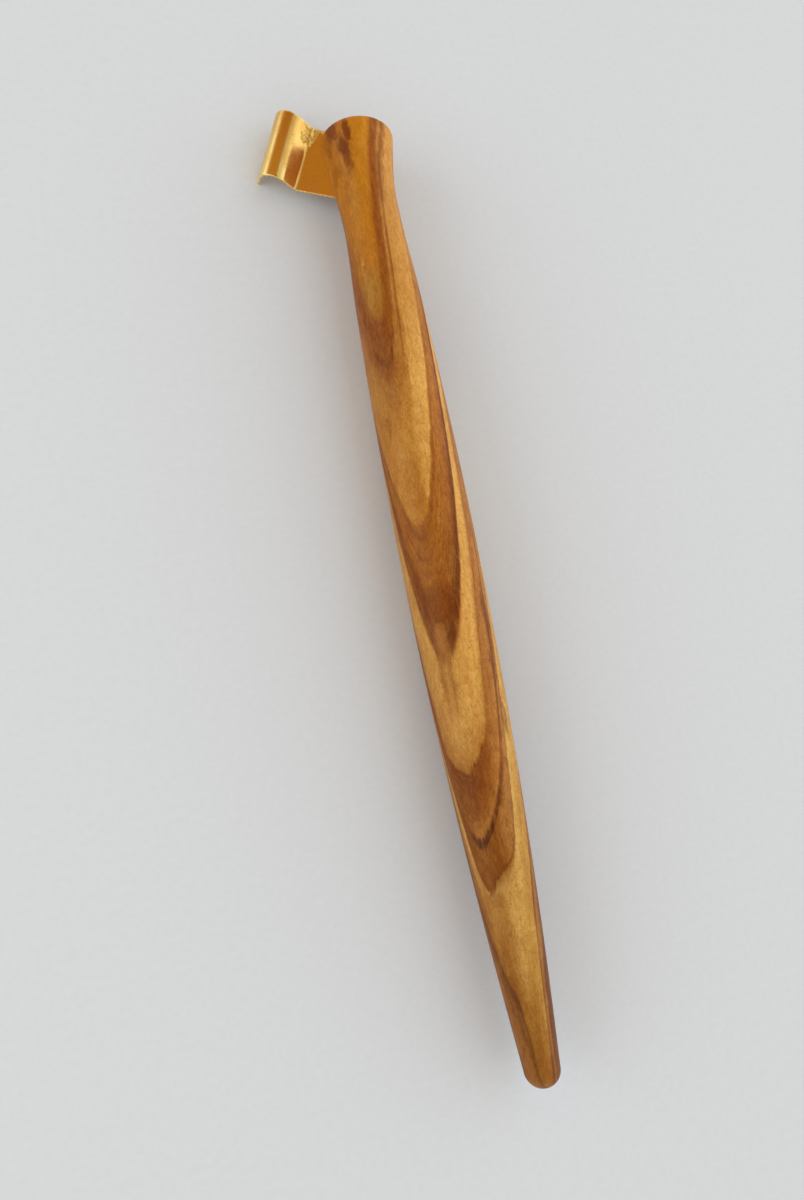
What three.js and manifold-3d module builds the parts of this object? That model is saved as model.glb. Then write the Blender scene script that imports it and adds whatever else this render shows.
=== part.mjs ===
// Oblique pen holder: a turned wooden staff and a brass flange that holds the nib at a slant.
// Millimetres, +Z up. The staff lies along Y with its head towards +Y. The holder lies on the
// plane Z = 0 as it does on a desk, on its belly, the rim of its head and the lip of the flange.

import * as THREE from 'three';
import { mergeVertices } from 'three/addons/utils/BufferGeometryUtils.js';
import Module from 'manifold-3d';

// Staff: its length, then the radius at each station and the run from one station to the next
const staffLength = 162.0;
const endDomeHeight = 2.0;
const rimRadius = 6.5;
const rimToHeel = 7.5;
const heelRadius = 5.48;
const heelToNeck = 9.0;
const neckRadius = 5.1;
const neckToShoulder = 15.5;
const shoulderRadius = 5.84;
const shoulderToGrip = 20.0;
const gripRadius = 6.36;
const gripToBelly = 22.0;
const bellyRadius = 6.57;
const tipRadius = 2.9;
const tipRounding = 2.6;
const taperPower = 1.92;

// Staff: how far the head's end is off square, and the wood left proud beside the saw cut
const endSlant = THREE.MathUtils.degToRad(3.5);
const endSlantReach = 12.0;
const slotSwell = 0.2;
const slotSwellPlace = 11.0;
const slotSwellReach = 5.0;

// Flange: where the channel stands, then the bends of the sheet from the tab to the lip
const channelAngle = THREE.MathUtils.degToRad(25.2);
const channelSetback = 7.1;
const channelLength = 11.9;
const mouthSkew = THREE.MathUtils.degToRad(4.5);
const sheetThickness = 0.45;
const creaseDistance = 10.2;
const webWidth = 9.6;
const creaseRadius = 1.3;
const flankAngle = THREE.MathUtils.degToRad(50);
const flankLength = 2.15;
const crownRadius = 2.75;
const lipAngle = THREE.MathUtils.degToRad(68);
const lipLength = 1.9;

// Nib tongue: a thinner leaf of the same bends, under the arch
const tongueThickness = 0.35;
const tongueLength = 8.0;
const tongueSetback = 0.5;
const tongueRoot = 1.6;
const tonguePastCrown = THREE.MathUtils.degToRad(22);

// Solder bead in the crease, at the mouth of the channel
const beadLength = 3.4;
const beadSetback = 0.5;
const beadWidth = 1.9;
const beadHeight = 0.75;
const beadRounding = 0.25;

// Clearances
const slotClearance = 0.3;
const nibClearance = 0.35;
const solderClearance = 0.3;
const cutOvershoot = 5.0;

// Fineness of the round forms
const staffSides = 40;
const spanSteps = 4;
const taperSpans = 4;
const endSteps = 5;
const bendSteps = 5;
const crownSteps = 14;

const finishes = {
  wood: new THREE.MeshStandardMaterial({ color: 0xb9772e, roughness: 0.38, metalness: 0.0 }),
  brass: new THREE.MeshStandardMaterial({ color: 0xd6a744, roughness: 0.22, metalness: 1.0 }),
  solder: new THREE.MeshStandardMaterial({ color: 0xc2a45a, roughness: 0.42, metalness: 1.0 }),
};

const wasm = await Module();
wasm.setup();

function toSolid(geometry) {
  const bare = geometry.clone();
  bare.deleteAttribute('normal');
  bare.deleteAttribute('uv');
  const merged = mergeVertices(bare, 1e-5);
  return new wasm.Manifold(new wasm.Mesh({
    numProp: 3,
    vertProperties: new Float32Array(merged.attributes.position.array),
    triVerts: new Uint32Array(merged.index.array),
  }));
}

function toGeometry(solid) {
  const mesh = solid.getMesh();
  const geometry = new THREE.BufferGeometry();
  geometry.setAttribute('position', new THREE.BufferAttribute(mesh.vertProperties, 3));
  geometry.setIndex(new THREE.BufferAttribute(mesh.triVerts, 1));
  geometry.computeVertexNormals();
  return geometry;
}

function namedMesh(name, geometry, finish) {
  const mesh = new THREE.Mesh(geometry, finish);
  mesh.name = name;
  return mesh;
}

function moveVertices(geometry, move) {
  const position = geometry.attributes.position;
  const point = new THREE.Vector3();
  for (let i = 0; i < position.count; i += 1) {
    point.fromBufferAttribute(position, i);
    move(point);
    position.setXYZ(i, point.x, point.y, point.z);
  }
  geometry.computeVertexNormals();
}

// The channel's own axes: X out from the staff, Y up, Z along the channel to its mouth
function channelFrame() {
  const out = new THREE.Vector3(-Math.cos(channelAngle), Math.sin(channelAngle), 0);
  const up = new THREE.Vector3(0, 0, 1);
  const along = new THREE.Vector3(Math.sin(channelAngle), Math.cos(channelAngle), 0);
  return new THREE.Matrix4().makeBasis(out, up, along).setPosition(0, -channelSetback, 0);
}

// Staff, turned about Y, with the end of its head at Y = 0 and its tail towards -Y
function staffStations() {
  const runs = [
    [endDomeHeight, rimRadius],
    [rimToHeel, heelRadius],
    [heelToNeck, neckRadius],
    [neckToShoulder, shoulderRadius],
    [shoulderToGrip, gripRadius],
    [gripToBelly, bellyRadius],
  ];
  const stations = [];
  let distance = 0;
  for (const [run, radius] of runs) {
    distance += run;
    stations.push(new THREE.Vector2(radius, -distance));
  }
  const taperLength = staffLength - tipRounding - distance;
  for (let i = 1; i <= taperSpans; i += 1) {
    const part = i / taperSpans;
    const radius = bellyRadius - (bellyRadius - tipRadius) * part ** taperPower;
    stations.push(new THREE.Vector2(radius, -distance - part * taperLength));
  }
  return stations;
}

function staffProfile() {
  const stations = staffStations();
  const flanks = new THREE.SplineCurve(stations).getPoints((stations.length - 1) * spanSteps);
  const dome = [];
  const tip = [];
  for (let i = 0; i < endSteps; i += 1) {
    const turn = (i / endSteps) * (Math.PI / 2);
    const tipDepth = tipRounding * (1 - Math.cos(turn));
    const domeDepth = endDomeHeight * (1 - Math.cos(turn));
    tip.push(new THREE.Vector2(tipRadius * Math.sin(turn), tipDepth - staffLength));
    dome.push(new THREE.Vector2(rimRadius * Math.sin(turn), -domeDepth));
  }
  return [...tip, ...flanks.reverse(), ...dome.reverse()];
}

function leanHead(point) {
  const depth = -point.y;
  const slantFade = 1 - THREE.MathUtils.smoothstep(depth, 0, endSlantReach);
  const swell = Math.exp(-(((depth - slotSwellPlace) / slotSwellReach) ** 2));
  point.y -= point.x * Math.tan(endSlant) * slantFade;
  point.x -= slotSwell * swell;
}

// The saw cut is open at the head's end and on its flank, and stops behind the tab
function sawCut() {
  const height = sheetThickness + 2 * slotClearance;
  const floor = creaseDistance - webWidth - slotClearance;
  const outside = rimRadius + cutOvershoot;
  const back = -channelLength / 2 - slotClearance;
  const front = channelSetback + cutOvershoot;
  const cut = new THREE.BoxGeometry(outside - floor, height, front - back);
  cut.translate((outside + floor) / 2, 0, (front + back) / 2);
  cut.applyMatrix4(channelFrame());
  return cut;
}

function staff() {
  const turned = new THREE.LatheGeometry(staffProfile(), staffSides);
  moveVertices(turned, leanHead);
  const slotted = toSolid(turned).subtract(toSolid(sawCut()));
  return namedMesh('staff', toGeometry(slotted), finishes.wood);
}

// The line that the sheet is bent to, in the channel's X and Y, with the side that faces up
function bentLine(start, endAngle, endLength) {
  const line = [];
  const place = new THREE.Vector2(start, 0);
  const add = (angle) => {
    line.push({ point: place.clone(), up: new THREE.Vector2(-Math.sin(angle), Math.cos(angle)), angle });
  };
  const run = (angle, length) => {
    place.x += length * Math.cos(angle);
    place.y += length * Math.sin(angle);
  };
  const bend = (from, to, radius, steps) => {
    const side = Math.sign(to - from);
    const centre = new THREE.Vector2(
      place.x - side * radius * Math.sin(from),
      place.y + side * radius * Math.cos(from),
    );
    for (let i = 0; i <= steps; i += 1) {
      const angle = from + ((to - from) * i) / steps;
      place.set(centre.x + side * radius * Math.sin(angle), centre.y - side * radius * Math.cos(angle));
      add(angle);
    }
  };
  add(0);
  run(0, creaseDistance - start);
  bend(0, flankAngle, creaseRadius, bendSteps);
  run(flankAngle, flankLength);
  bend(flankAngle, endAngle, crownRadius, crownSteps);
  if (endLength > 0) {
    run(endAngle, endLength);
    add(endAngle);
  }
  return line;
}

function offsetPoint(station, distance) {
  return station.point.clone().addScaledVector(station.up, distance);
}

// A strip between two offsets of the bent line, pulled out along the channel
function bentStrip(line, lower, upper, back, length) {
  const bottom = line.map((station) => offsetPoint(station, lower));
  const top = line.map((station) => offsetPoint(station, upper)).reverse();
  const strip = new THREE.ExtrudeGeometry(new THREE.Shape([...bottom, ...top]), {
    depth: length,
    bevelEnabled: false,
  });
  strip.translate(0, 0, back);
  return strip;
}

// The mouth is cut a little off square, so that it leans forward towards the lip
function skewMouth(point) {
  if (point.z > 0) {
    point.z += (point.x - creaseDistance) * Math.tan(mouthSkew);
  }
}

function flange() {
  const line = bentLine(creaseDistance - webWidth, -lipAngle, lipLength);
  const half = sheetThickness / 2;
  const sheet = bentStrip(line, -half, half, -channelLength / 2, channelLength);
  moveVertices(sheet, skewMouth);
  return namedMesh('flange', sheet, finishes.brass);
}

function nibTongue() {
  const line = bentLine(creaseDistance - tongueRoot, -tonguePastCrown, 0);
  const top = -sheetThickness / 2 - nibClearance;
  const front = channelLength / 2 - tongueSetback;
  const leaf = bentStrip(line, top - tongueThickness, top, front - tongueLength, tongueLength);
  return namedMesh('nib_tongue', leaf, finishes.brass);
}

// A low lump that lies in the crease, flat underneath where it would wet the sheet
function solderBead() {
  const line = bentLine(creaseDistance - beadWidth / 3, -lipAngle, lipLength);
  const wetted = line.filter((station) => station.point.x < creaseDistance + (2 * beadWidth) / 3);
  const bottom = wetted.map((station) => offsetPoint(station, sheetThickness / 2 + solderClearance));
  const first = bottom[0];
  const last = bottom[bottom.length - 1];
  const crown = new THREE.Vector2((first.x + last.x) / 2, Math.max(first.y, last.y) + beadHeight / 2);
  const top = new THREE.QuadraticBezierCurve(last, crown, first).getPoints(bendSteps).slice(1, -1);
  const lump = new THREE.ExtrudeGeometry(new THREE.Shape([...bottom, ...top]), {
    depth: beadLength - 2 * beadRounding,
    bevelEnabled: false,
  });
  lump.translate(0, 0, channelLength / 2 - beadSetback - beadLength + beadRounding);
  return namedMesh('solder_bead', lump, finishes.solder);
}

// The roll about the staff's axis at which the first point of the flange meets the desk
function restRoll(flangeMesh) {
  const position = flangeMesh.geometry.attributes.position;
  const frame = channelFrame();
  const point = new THREE.Vector3();
  let roll = Math.PI / 2;
  for (let i = 0; i < position.count; i += 1) {
    point.fromBufferAttribute(position, i).applyMatrix4(frame);
    const reach = Math.hypot(point.x, point.z);
    if (point.x < 0 && reach > bellyRadius) {
      roll = Math.min(roll, Math.asin(bellyRadius / reach) - Math.atan2(-point.z, -point.x));
    }
  }
  return roll;
}

function holder() {
  const sheet = flange();
  const channel = new THREE.Group();
  channel.applyMatrix4(channelFrame());
  channel.add(sheet, nibTongue(), solderBead());
  const rolled = new THREE.Group();
  rolled.add(staff(), channel);
  rolled.rotation.y = -restRoll(sheet);
  const whole = new THREE.Group();
  whole.add(rolled);
  whole.updateMatrixWorld(true);
  const box = new THREE.Box3().setFromObject(whole, true);
  const centre = box.getCenter(new THREE.Vector3());
  rolled.position.set(-centre.x, -centre.y, -box.min.z);
  whole.updateMatrixWorld(true);
  return whole;
}

export default holder();
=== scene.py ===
"""Oblique pen holder: a turned olive wood staff and a bent brass flange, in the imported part's frame."""

import math

import bpy
import numpy as np
from mathutils import Matrix, Vector


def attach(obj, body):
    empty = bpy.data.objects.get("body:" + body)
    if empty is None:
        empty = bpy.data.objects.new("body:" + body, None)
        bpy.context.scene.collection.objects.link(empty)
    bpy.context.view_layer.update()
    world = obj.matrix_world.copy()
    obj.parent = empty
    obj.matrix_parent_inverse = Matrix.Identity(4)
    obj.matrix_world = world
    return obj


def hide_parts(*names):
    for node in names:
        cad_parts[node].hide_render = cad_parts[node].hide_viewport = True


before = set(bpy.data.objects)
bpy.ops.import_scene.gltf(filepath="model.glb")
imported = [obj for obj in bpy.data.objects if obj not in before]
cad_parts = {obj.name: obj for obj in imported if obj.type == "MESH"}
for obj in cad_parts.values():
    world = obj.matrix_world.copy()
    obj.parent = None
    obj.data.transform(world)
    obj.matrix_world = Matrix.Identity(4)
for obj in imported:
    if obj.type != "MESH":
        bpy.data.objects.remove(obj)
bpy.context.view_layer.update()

MM = 0.001

# How the holder lies on the desk: the staff's axis, from the place of its head's end, and its roll
STAFF_PLACE = Vector((5.616194190262898, 77.70998444592486, 6.57))
STAFF_ROLL = math.radians(19.24278572896194)

# Staff: its length, then the run to each station and the radius there
STAFF_LENGTH = 162.0
DOME_HEIGHT = 2.0
TIP_ROUNDING = 2.6
TIP_RADIUS = 2.9
TAPER_POWER = 1.92
TAPER_SPANS = 4
STATION_RUNS = [(DOME_HEIGHT, 6.5), (7.5, 5.48), (9.0, 5.1), (15.5, 5.84), (20.0, 6.36), (22.0, 6.57)]
HEAD_SLANT = math.radians(3.5)
HEAD_SLANT_REACH = 12.0
SLOT_SWELL = 0.2
SLOT_SWELL_PLACE = 11.0
SLOT_SWELL_REACH = 5.0
SPAN_STEPS = 22
END_STEPS = 16
STAFF_SIDES = 144
SANDING_DEPTH = 0.03

# Flange: where the channel stands, then the bends of the sheet from the tab to the lip
CHANNEL_ANGLE = math.radians(25.2)
CHANNEL_SETBACK = 7.1
CHANNEL_LENGTH = 11.9
MOUTH_SKEW = math.radians(4.5)
SHEET_THICKNESS = 0.45
CREASE_DISTANCE = 10.2
WEB_WIDTH = 9.6
CREASE_RADIUS = 1.3
FLANK_ANGLE = math.radians(50)
FLANK_LENGTH = 2.15
CROWN_RADIUS = 2.75
LIP_ANGLE = math.radians(68)
LIP_LENGTH = 1.9
SLOT_FIT = 0.06
SLOT_FLOOR_FIT = 0.3
CUT_OVERSHOOT = 5.0

# Where the back edge's filing starts
FILED_BACK = 0.1 - CHANNEL_LENGTH / 2

# Nib tongue: a thinner leaf of the same bends, under the arch
TONGUE_THICKNESS = 0.35
TONGUE_LENGTH = 8.0
TONGUE_SETBACK = 0.5
TONGUE_ROOT = 1.6
TONGUE_PAST_CROWN = math.radians(22)
NIB_CLEARANCE = 0.35

# Solder: where it lies along the bent sheet and along the channel, and how high it stands
SOLDER_ARC = (6.7, 12.7)
SOLDER_REACH = (2.2, 5.90)
SOLDER_STEPS = (120, 84)
SOLDER_NECK = (8.5, 9.7)
SOLDER_NECK_BACK = 5.1
SOLDER_CREASE = 10.2
SOLDER_CREASE_WIDTH = 0.55
SOLDER_KEY = 0.05
SOLDER_FILM = 0.06
SOLDER_FILLET = 0.28
# The lengths over which it thins out
SOLDER_BACK_FADE = 1.0
SOLDER_NECK_FADE = 0.6
SOLDER_MOUTH_FADE = 0.30
SOLDER_WEB_FADE = 0.7
SOLDER_FLANK_FADE = 0.9
SOLDER_FLANK_INSET = 0.45
# Waves of its edges at the back and on the flank: size, pace and start
SOLDER_BACK_WAVES = [(0.22, 3.1, 1.0), (0.12, 8.3, 0.0)]
SOLDER_FLANK_WAVES = [(0.30, 2.3, 0.0), (0.14, 7.1, 0.0)]
# Lumps and pits: the place along the sheet and along the channel, the size, and the rise or fall
SOLDER_LUMPS = [
    (10.4, 5.0, 0.45, 0.16), (10.0, 4.2, 0.40, 0.14), (10.9, 4.4, 0.50, 0.10), (9.9, 5.5, 0.35, 0.14),
    (10.6, 3.3, 0.40, 0.10), (11.4, 5.2, 0.40, 0.08), (11.8, 3.9, 0.45, 0.06), (9.7, 3.0, 0.30, 0.08),
]
SOLDER_PITS = [
    (11.3, 5.0, 0.18, 0.16), (10.5, 5.65, 0.16, 0.20), (10.95, 3.35, 0.18, 0.18),
    (9.85, 3.75, 0.16, 0.20), (9.5, 5.2, 0.14, 0.10), (11.7, 4.5, 0.13, 0.10),
]

# Fineness and small edges
CREASE_STEPS = 10
CROWN_STEPS = 30
SHEET_STEPS = 24
EASED_EDGE = 0.07
BEVEL_STEPS = 3
CORNER_ANGLE = math.radians(40)
MERGE_REACH = 0.001
SANDING_SEED = 7.0
SANDING_SCALE = 90.0

# Camera, in the part's frame and in the photograph's pixels
PHOTO_HEIGHT = 1200
CAMERA_FOCAL_PIXELS = 792.13
CAMERA_PLACE = (-36.144, -21.467, 130.271)
CAMERA_AIM = (-2.131, -6.242, 6.57)
CAMERA_TOP = (0.15249, 0.97495, 0.16192)
SENSOR_WIDTH = 36.0
CAMERA_CLIP = (0.005, 10.0)

# Room: pale all round and dimmer overhead, with a warm wall that the flat brass mirrors and a small
# dim patch overhead
FLOOR_HALF = 0.8
FLOOR_TOOTH = 900.0
FLOOR_TONES = [(0.3, "#E0E6E9"), (0.7, "#E3E9EC")]
ROOM_TONES = [
    (0.0, (1.22, 1.23, 1.26, 1.0)), (0.35, (1.08, 1.09, 1.13, 1.0)), (0.60, (0.68, 0.69, 0.72, 1.0)),
    (1.0, (0.55, 0.55, 0.56, 1.0)),
]
WALL_TONE = (0.478, 0.246, 0.052, 1.0)
WALL_DIRECTION = (-0.27, 0.58, 0.77)
WALL_REACH = (0.80, 0.93)
CEILING_TONE = (0.16, 0.14, 0.12, 1.0)
CEILING_DIRECTION = (0.22, 0.05, 0.97)
CEILING_REACH = (0.86, 0.96)
# Soft lamps that face the holder: name, place, width and height, power, colour
LAMPS = [
    ("window_lamp", (0.60, -0.02, 0.52), (1.25, 1.30), 2.75, (1.0, 1.0, 1.0)),
    ("card_lamp", (-0.50, 0.05, 0.24), (0.50, 0.36), 0.80, (0.98, 0.99, 1.0)),
]

ON_DESK = Matrix.Translation(STAFF_PLACE) @ Matrix.Rotation(-STAFF_ROLL, 4, "Y")
CHANNEL_ON_STAFF = Matrix((
    (-math.cos(CHANNEL_ANGLE), 0, math.sin(CHANNEL_ANGLE), 0),
    (math.sin(CHANNEL_ANGLE), 0, math.cos(CHANNEL_ANGLE), -CHANNEL_SETBACK),
    (0, 1, 0, 0),
    (0, 0, 0, 1),
))
CHANNEL = ON_DESK @ CHANNEL_ON_STAFF


# Node trees

class Wire:
    """A socket that adds Math nodes when it stands in an expression."""

    def __init__(self, board, socket):
        self.board = board
        self.socket = socket

    def _math(self, operation, first, second):
        return self.board.add("ShaderNodeMath", {"operation": operation}, {0: first, 1: second})

    def __add__(self, other):
        return self._math("ADD", self, other)

    def __sub__(self, other):
        return self._math("SUBTRACT", self, other)

    def __rsub__(self, other):
        return self._math("SUBTRACT", other, self)

    def __mul__(self, other):
        return self._math("MULTIPLY", self, other)

    def __truediv__(self, other):
        return self._math("DIVIDE", self, other)

    def __pow__(self, other):
        return self._math("POWER", self, other)

    __radd__ = __add__
    __rmul__ = __mul__


class Board:
    """A node tree and the one way in which nodes are added to it."""

    def __init__(self, tree):
        self.tree = tree
        tree.nodes.clear()

    def add(self, kind, settings=None, sockets=None, output=0):
        node = self.tree.nodes.new(kind)
        for name, value in (settings or {}).items():
            if name == "stops":
                self._set_stops(node.color_ramp, value)
            elif name == "points":
                self._set_points(node.mapping, value)
            else:
                setattr(node, name, value)
        for key, value in (sockets or {}).items():
            if isinstance(value, Wire):
                self.tree.links.new(value.socket, node.inputs[key])
            else:
                node.inputs[key].default_value = value
        if isinstance(output, tuple):
            return [Wire(self, node.outputs[key]) for key in output]
        if len(node.outputs) == 0:
            return node
        return Wire(self, node.outputs[output])

    @staticmethod
    def _set_stops(ramp, stops):
        while len(ramp.elements) > 1:
            ramp.elements.remove(ramp.elements[-1])
        for number, (place, color) in enumerate(stops):
            element = ramp.elements[0] if number == 0 else ramp.elements.new(place)
            element.position = place
            element.color = color

    @staticmethod
    def _set_points(mapping, points):
        curve = mapping.curves[0]
        while len(curve.points) > 2:
            curve.points.remove(curve.points[1])
        for number, place in enumerate((points[0], points[-1])):
            curve.points[number].location = place
        for place in points[1:-1]:
            curve.points.new(*place)
        for point in curve.points:
            point.handle_type = "AUTO_CLAMPED"
        mapping.extend = "HORIZONTAL"
        mapping.update()


def paint(code):
    """A colour from its hexadecimal code, in linear light."""
    parts = [int(code[i:i + 2], 16) / 255 for i in (1, 3, 5)]
    linear = [p / 12.92 if p <= 0.04045 else ((p + 0.055) / 1.055) ** 2.4 for p in parts]
    return (*linear, 1.0)


def painted(stops):
    """Ramp stops with their hexadecimal codes as colours."""
    return [(place, paint(code)) for place, code in stops]


class Finish(Board):
    """A material with the wires that every finish here uses."""

    def __init__(self, name):
        self.material = bpy.data.materials.new(name)
        self.material.use_nodes = True
        super().__init__(self.material.node_tree)

    def place(self, matrix):
        """Object coordinates in millimetres, seen from the axes of a matrix."""
        position = self.add("ShaderNodeTexCoord", output="Object")
        return self.add("ShaderNodeMapping", {"vector_type": "TEXTURE"}, {
            "Vector": position,
            "Location": matrix.to_translation() * MM,
            "Rotation": matrix.to_euler("XYZ"),
            "Scale": (MM, MM, MM),
        })

    def vector(self, operation, first, second, third=(0, 0, 0)):
        sockets = {0: first, 1: second}
        if operation == "MULTIPLY_ADD":
            sockets[2] = third
        return self.add("ShaderNodeVectorMath", {"operation": operation}, sockets)

    def split(self, vector):
        return self.add("ShaderNodeSeparateXYZ", None, {0: vector}, ("X", "Y", "Z"))

    def noise(self, vector, stretch, detail=2.0, roughness=0.5, output="Fac"):
        """Noise whose grains have the size 1 / stretch along each axis."""
        stretched = self.vector("MULTIPLY", vector, stretch)
        sockets = {"Vector": stretched, "Scale": 1.0, "Detail": detail, "Roughness": roughness}
        return self.add("ShaderNodeTexNoise", None, sockets, output)

    def ramp(self, value, stops):
        return self.add("ShaderNodeValToRGB", {"stops": stops}, {"Fac": value})

    def step(self, value, start, end, low=0.0, high=1.0, curve="SMOOTHSTEP"):
        """Goes from low to high as the value goes from start to end."""
        return self.add("ShaderNodeMapRange", {"interpolation_type": curve}, {
            0: value, 1: start, 2: end, 3: low, 4: high,
        })

    def mix(self, factor, first, second, blend="MIX"):
        return self.add("ShaderNodeMix", {"data_type": "RGBA", "blend_type": blend}, {
            0: factor, 6: first, 7: second,
        }, 2)

    def bump(self, height, distance, strength):
        return self.add("ShaderNodeBump", None, {
            "Height": height, "Distance": distance * MM, "Strength": strength,
        })

    def surface(self, sockets):
        shader = self.add("ShaderNodeBsdfPrincipled", None, sockets)
        self.add("ShaderNodeOutputMaterial", None, {"Surface": shader})
        return self.material


# Olive wood. The growth shells are cones about a pith that lies below the staff, so that they run
# out on its surface as nested tongues that point to the tail. A place in the wood has a turn, from 0
# to 1 round the pith, and an age, the number of growth lines between it and the head.
RIDGE_ANGLE = -20.0
PITH_DEPTH = 14.0
SHELL_SLOPE = 8.0
SHELL_RADIUS = 20.0
TURN_REACH = 30.0
TURN_KNOTS = np.linspace(0.20, 0.93, 18)
LEAST_SHELL = 1.2
AGE_START = -160.0
AGE_END = 460.0
# How far from the head's end each growth line crosses the staff, at these angles from its top
TABLE_ANGLES = (-80, -70, -60, -45, -30, -20, -8, 5, 20, 35, 50, 65, 80)
GROWTH_LINES = [
    (-70, -68, -66, -64, -62, -62, -64, -70, -80, -90, -100, -110, -120),
    (18.0, 21.5, 25.0, 30.3, 35.6, 37.0, 35.0, 18.5, 7.5, -6.0, -20.0, -34.0, -46.0),
    (42.0, 44.5, 47.0, 50.0, 52.5, 54.0, 53.5, 51.0, 33.5, 13.5, 6.5, -8.0, -22.0),
    (50.0, 55.0, 60.5, 67.5, 72.6, 73.8, 72.6, 68.8, 60.8, 50.5, 39.0, 24.0, 8.0),
    (58.0, 66.5, 77.0, 88.6, 95.2, 95.6, 94.8, 91.6, 85.4, 76.0, 62.2, 46.0, 31.0),
    (88.0, 97.0, 109.0, 111.4, 112.8, 113.4, 111.5, 109.8, 107.0, 91.6, 79.0, 58.5, 40.5),
    (98.0, 107.5, 116.2, 121.7, 124.2, 124.2, 123.0, 120.8, 117.3, 112.4, 102.5, 80.0, 60.0),
    (99.2, 108.7, 117.4, 129.0, 131.4, 131.2, 129.0, 128.4, 127.4, 124.0, 108.0, 93.0, 75.0),
    (121.0, 129.0, 137.0, 142.5, 146.0, 147.6, 161.0, 175.0, 168.0, 158.0, 136.0, 127.0, 116.0),
    (146.0, 155.0, 163.0, 172.0, 182.0, 200.0, 208.0, 206.0, 192.0, 170.0, 149.0, 136.0, 125.0),
    (176.0, 180.0, 186.0, 192.0, 200.0, 208.0, 216.0, 218.0, 210.0, 192.0, 170.0, 156.0, 144.0),
    (178.0, 186.0, 194.0, 204.0, 218.0, 228.0, 236.0, 238.0, 228.0, 212.0, 185.0, 169.0, 157.0),
    (208.0, 216.0, 224.0, 234.0, 248.0, 258.0, 266.0, 268.0, 258.0, 242.0, 215.0, 199.0, 187.0),
]
# Tones of the wood by its age
CALENDAR = [
    (0.00, "#CC7E12"), (0.95, "#C87E1C"), (1.02, "#984F0C"), (1.46, "#8E480C"), (1.54, "#B47430"),
    (1.62, "#C28438"), (1.70, "#B87830"), (1.78, "#9E5A1A"), (1.86, "#965012"),
    (1.93, "#C08236"), (1.97, "#C48636"), (2.97, "#CA8834"), (3.03, "#985216"),
    (3.12, "#B06A22"), (3.38, "#B66E26"), (3.46, "#924E0C"), (3.70, "#8C480A"), (3.80, "#A46224"),
    (3.97, "#A2622A"), (4.05, "#DCA04C"), (4.60, "#DAA04E"), (4.98, "#B4762C"), (5.02, "#803E08"),
    (5.50, "#944F12"), (5.84, "#B67630"), (5.91, "#5A280A"), (6.02, "#522208"), (6.08, "#965612"),
    (6.97, "#884808"), (7.05, "#D2A050"),
]
# Tones of the first brown shell on its upper side and at its tip, where it has no fine lines
SOFT_CALENDAR = [
    (0.95, "#C87E1C"), (1.04, "#A05814"), (1.30, "#985012"), (1.70, "#AA6426"), (1.85, "#BA7A34"),
    (2.05, "#C48434"), (2.20, "#CA8834"),
]
# Tones past the calendar's last, with the brown streaks of the tail, and where they take over
TAIL_START = (7.29, 7.30)
TAIL_CALENDAR = [
    (7.30, "#D2A050"), (7.55, "#A86C22"), (7.98, "#9A5C14"), (8.01, "#683606"), (8.06, "#744210"),
    (8.10, "#865018"), (8.16, "#885214"), (8.24, "#7C4810"), (8.34, "#9E6222"), (8.90, "#A06222"),
    (9.10, "#6C3608"), (12.0, "#6C3608"),
]
# How brown the wood is by its age, so how much of the fine brown lines it takes
BROWN_SHARES = [
    (0.98, 0.0), (1.03, 0.9), (1.5, 0.9), (2.02, 0.0), (2.98, 0.0), (3.03, 0.7), (3.95, 0.8),
    (4.05, 0.1), (4.98, 0.0), (5.04, 0.8), (6.95, 0.7), (7.04, 0.0), (7.95, 0.1), (8.1, 0.6),
    (10.0, 0.4), (12.0, 0.7),
]
# The turn of the shells' tips, how near to it the feathering is longer, and its length
TIP_TURN = 0.52
TIP_REACH = (0.10, 0.03)
FEATHER_LENGTH = 1.8
FEATHER_AT_TIP = 1.0
# Where the first brown shell is soft in tone
SOFT_RANGES = [("turn", 0.61, 0.54), ("age", 0.95, 0.97), ("age", 2.20, 2.18)]
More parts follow.
